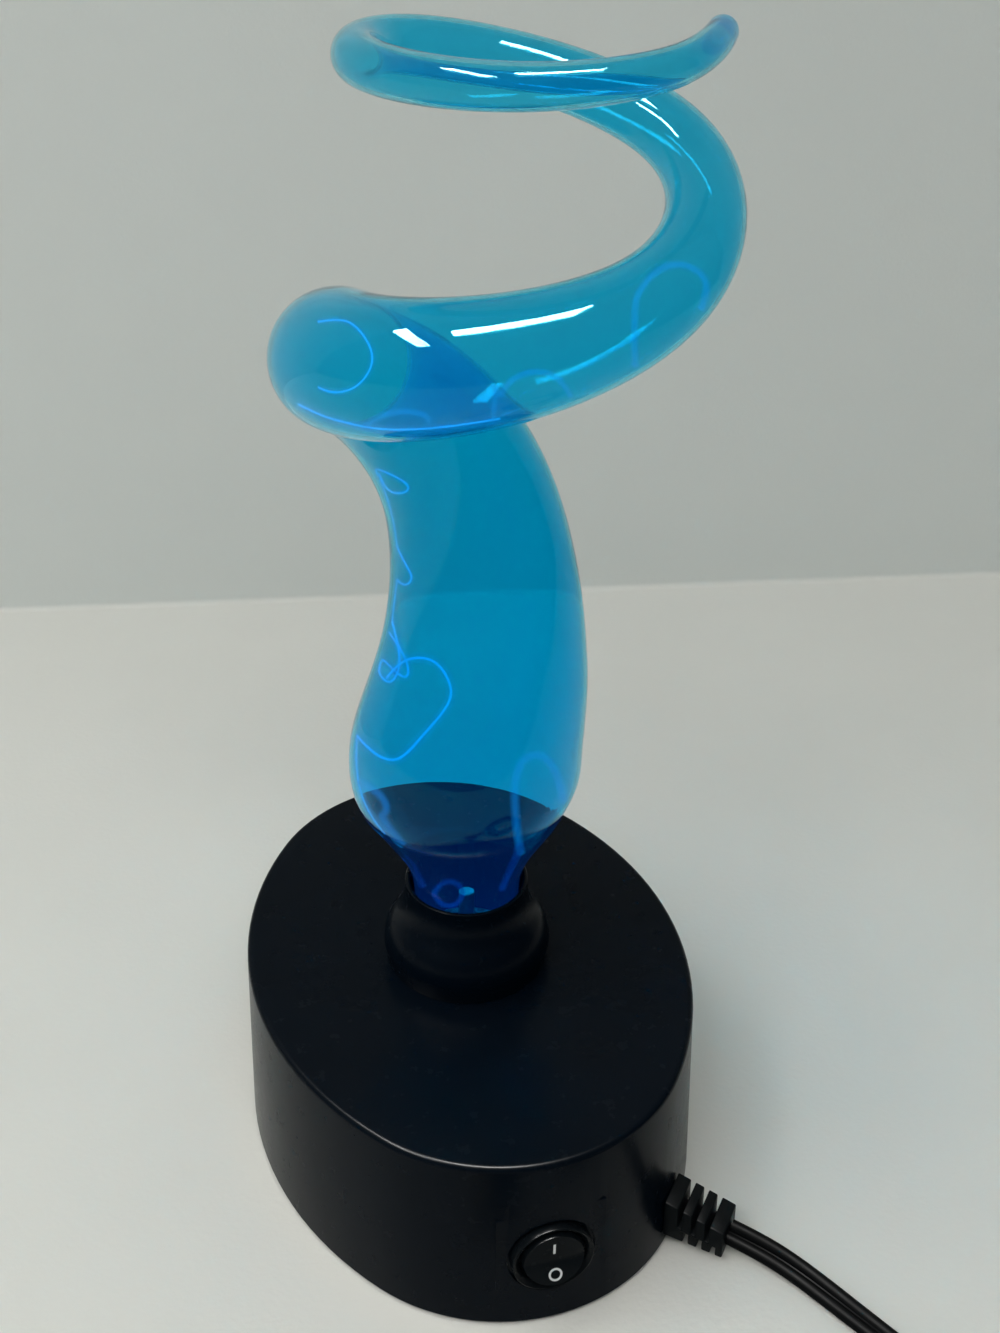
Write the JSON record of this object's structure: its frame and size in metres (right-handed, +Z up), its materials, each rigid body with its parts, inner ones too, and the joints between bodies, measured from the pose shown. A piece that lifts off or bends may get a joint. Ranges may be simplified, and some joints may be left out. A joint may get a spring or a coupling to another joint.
{
  "type": "plasma lamp",
  "caption": "Spiral plasma lamp: a coiled blown-glass tube on a bell collar, an oval base with a round rocker switch, a slotted strain relief and a coiled flat lead with a plug.",
  "frame": {"origin": "middle of the oval footprint, on the table under the rubber feet", "axes": "+Z up; -Y out of the wall with the switch; +X to the right as the switch is faced; the lead leaves the front right of the base"},
  "size_m": [0.1831, 0.3334, 0.3355],
  "materials": {
    "housing_plastic": "glossy black moulded plastic",
    "cover_plastic": "matt black moulded plastic",
    "foot_rubber": "soft dark rubber",
    "collar_plastic": "glossy black moulded plastic",
    "steel": "plain steel",
    "envelope_glass": "clear blown glass with a blue glow inside",
    "stem_glass": "clear pressed glass",
    "switch_plastic": "smooth black plastic",
    "rocker_plastic": "smooth black plastic with white on and off signs",
    "brass": "plain brass",
    "relief_vinyl": "soft black vinyl",
    "cord_vinyl": "satin black vinyl",
    "tie_plastic": "black plastic band",
    "plug_vinyl": "moulded black vinyl",
    "board_laminate": "green glass-fibre laminate",
    "ferrite": "dark grey ferrite",
    "winding_resin": "black potting resin",
    "capacitor_sleeve": "dark blue shrink sleeve",
    "sink_aluminium": "bare extruded aluminium",
    "lead_silicone": "red silicone sleeve"
  },
  "bodies": {
    "lamp": {"base_housing": "housing_plastic", "bottom_cover": "cover_plastic", "capacitor": "capacitor_sleeve", "cord_coil": "cord_vinyl", "cord_lead": "cord_vinyl", "cord_tie": "tie_plastic", "driver_board": "board_laminate", "electrode": "steel", "flyback_core": "ferrite", "flyback_winding": "winding_resin", "foot_1": "foot_rubber", "foot_2": "foot_rubber", "foot_3": "foot_rubber", "foot_4": "foot_rubber", "glass_spiral": "envelope_glass", "glass_stem": "stem_glass", "heat_sink": "sink_aluminium", "high_voltage_lead": "lead_silicone", "neck_collar": "collar_plastic", "plug_blade_1": "brass", "plug_blade_2": "brass", "plug_body": "plug_vinyl", "relief_clip": "relief_vinyl", "strain_relief": "relief_vinyl", "switch_body": "switch_plastic", "switch_terminal_1": "brass", "switch_terminal_2": "brass"},
    "rocker": {"switch_rocker": "rocker_plastic"}
  },
  "joints": [
    {"name": "rocker_tilt", "type": "hinge", "parent": "lamp", "child": "rocker", "pos_m": [0, -0.08646, 0.0255], "axis": [1, 0, 0], "range_deg": [0, 20]}
  ]
}
